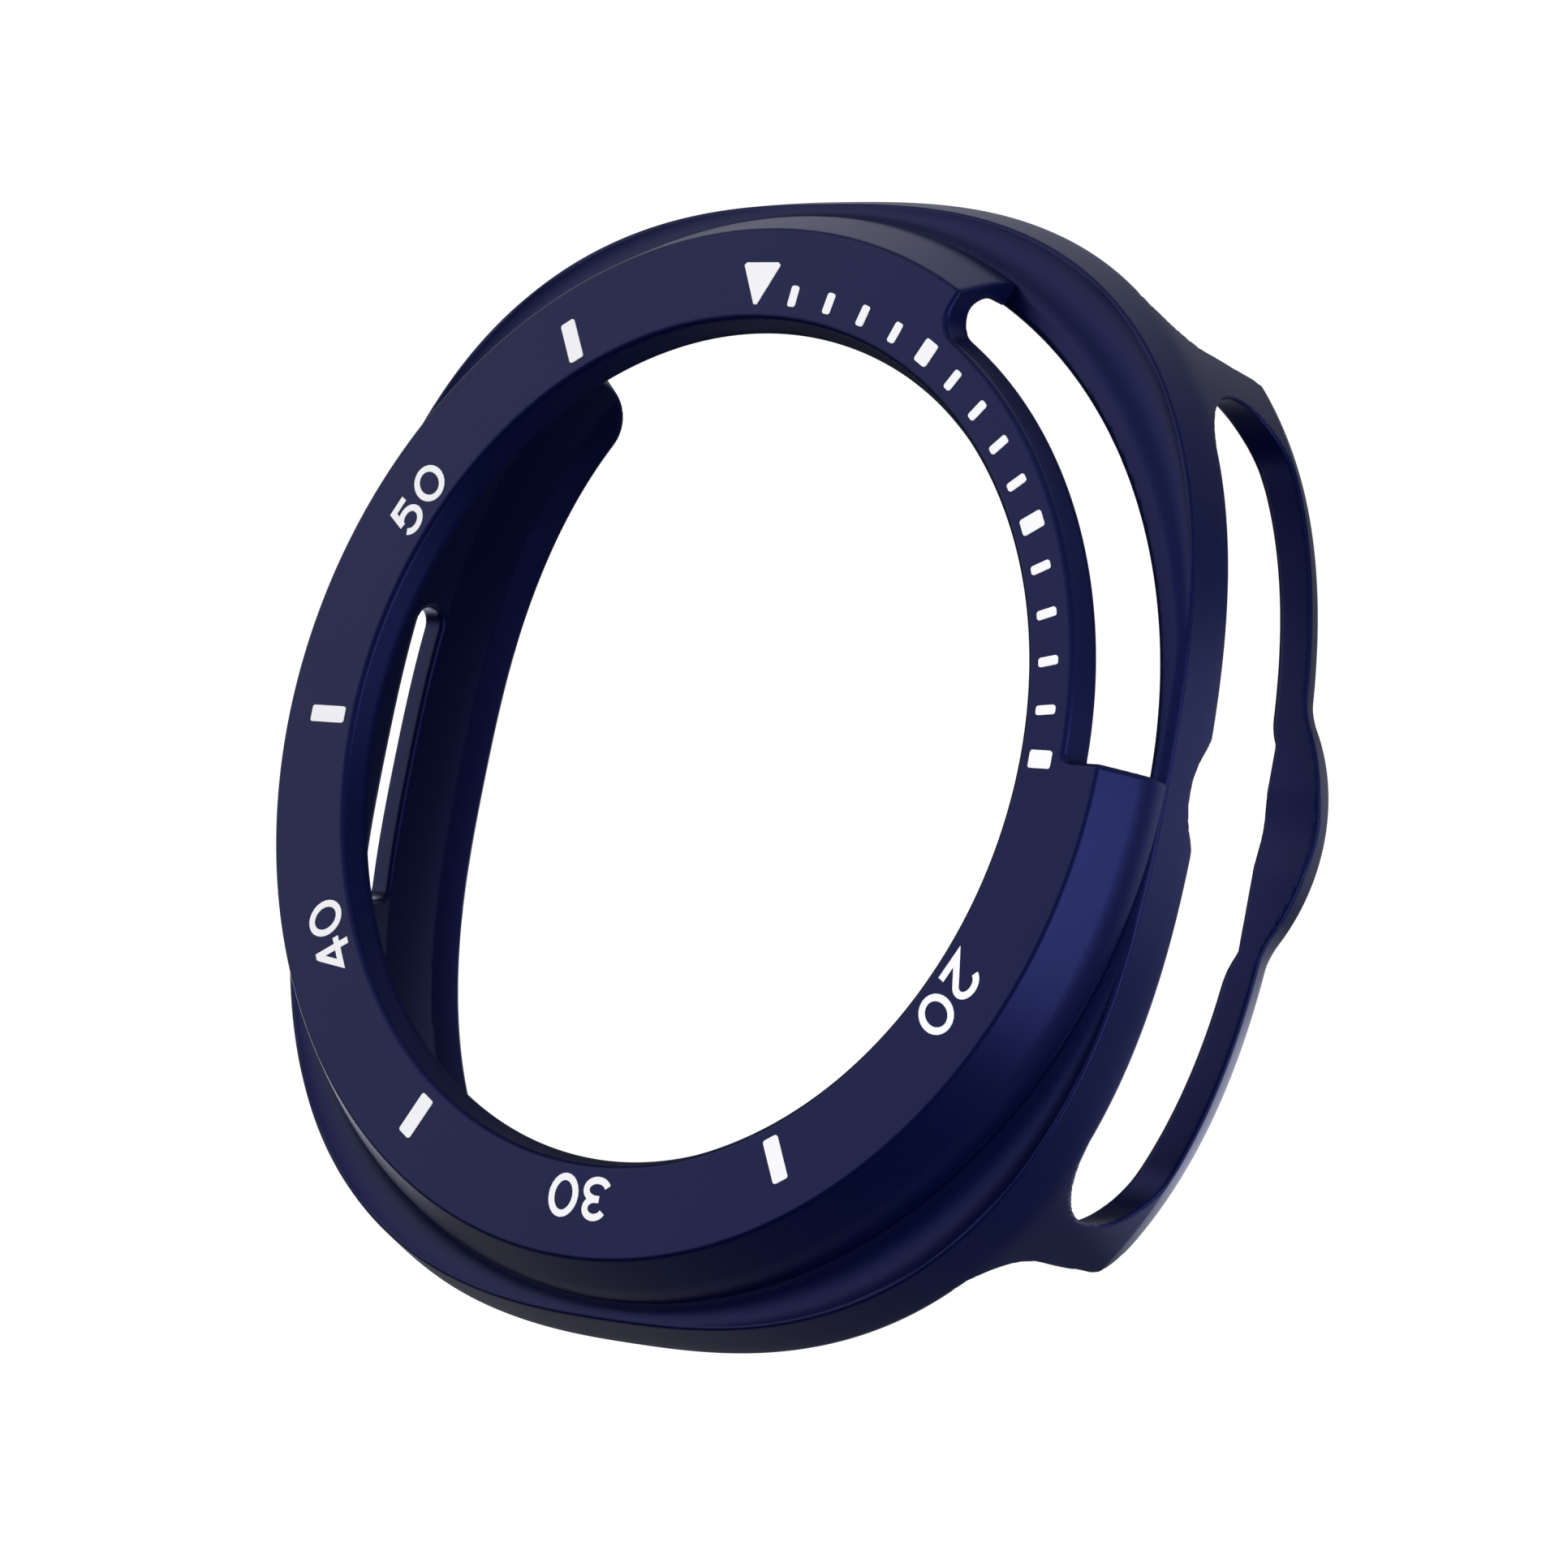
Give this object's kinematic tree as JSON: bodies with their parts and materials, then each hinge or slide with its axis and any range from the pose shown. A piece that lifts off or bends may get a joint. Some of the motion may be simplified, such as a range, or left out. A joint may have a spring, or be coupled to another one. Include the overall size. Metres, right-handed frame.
{
  "type": "smartwatch bumper case",
  "caption": "Hard bumper case for a cushion-shaped smartwatch with a turning bezel: marked bezel ring, side guards, button window and finger window.",
  "frame": {"origin": "on the dial axis, in the mouth of the bezel bore, level with the underside of the frame's deck that rests on the watch's shoulder", "axes": "+Z out of the dial along the dial axis, +Y to 12 o'clock, +X to 3 o'clock and the buttons"},
  "size_m": [0.0502, 0.0516, 0.0134],
  "materials": {
    "frame_plastic": "satin moulded",
    "ring_plastic": "satin moulded",
    "mark_white": "matte paint"
  },
  "bodies": {
    "root": {"guard_frame": "frame_plastic", "bezel_ring": "ring_plastic", "zero_triangle": "mark_white", "minute_ticks": "mark_white", "five_minute_blocks": "mark_white", "five_minute_bars": "mark_white"}
  },
  "joints": []
}
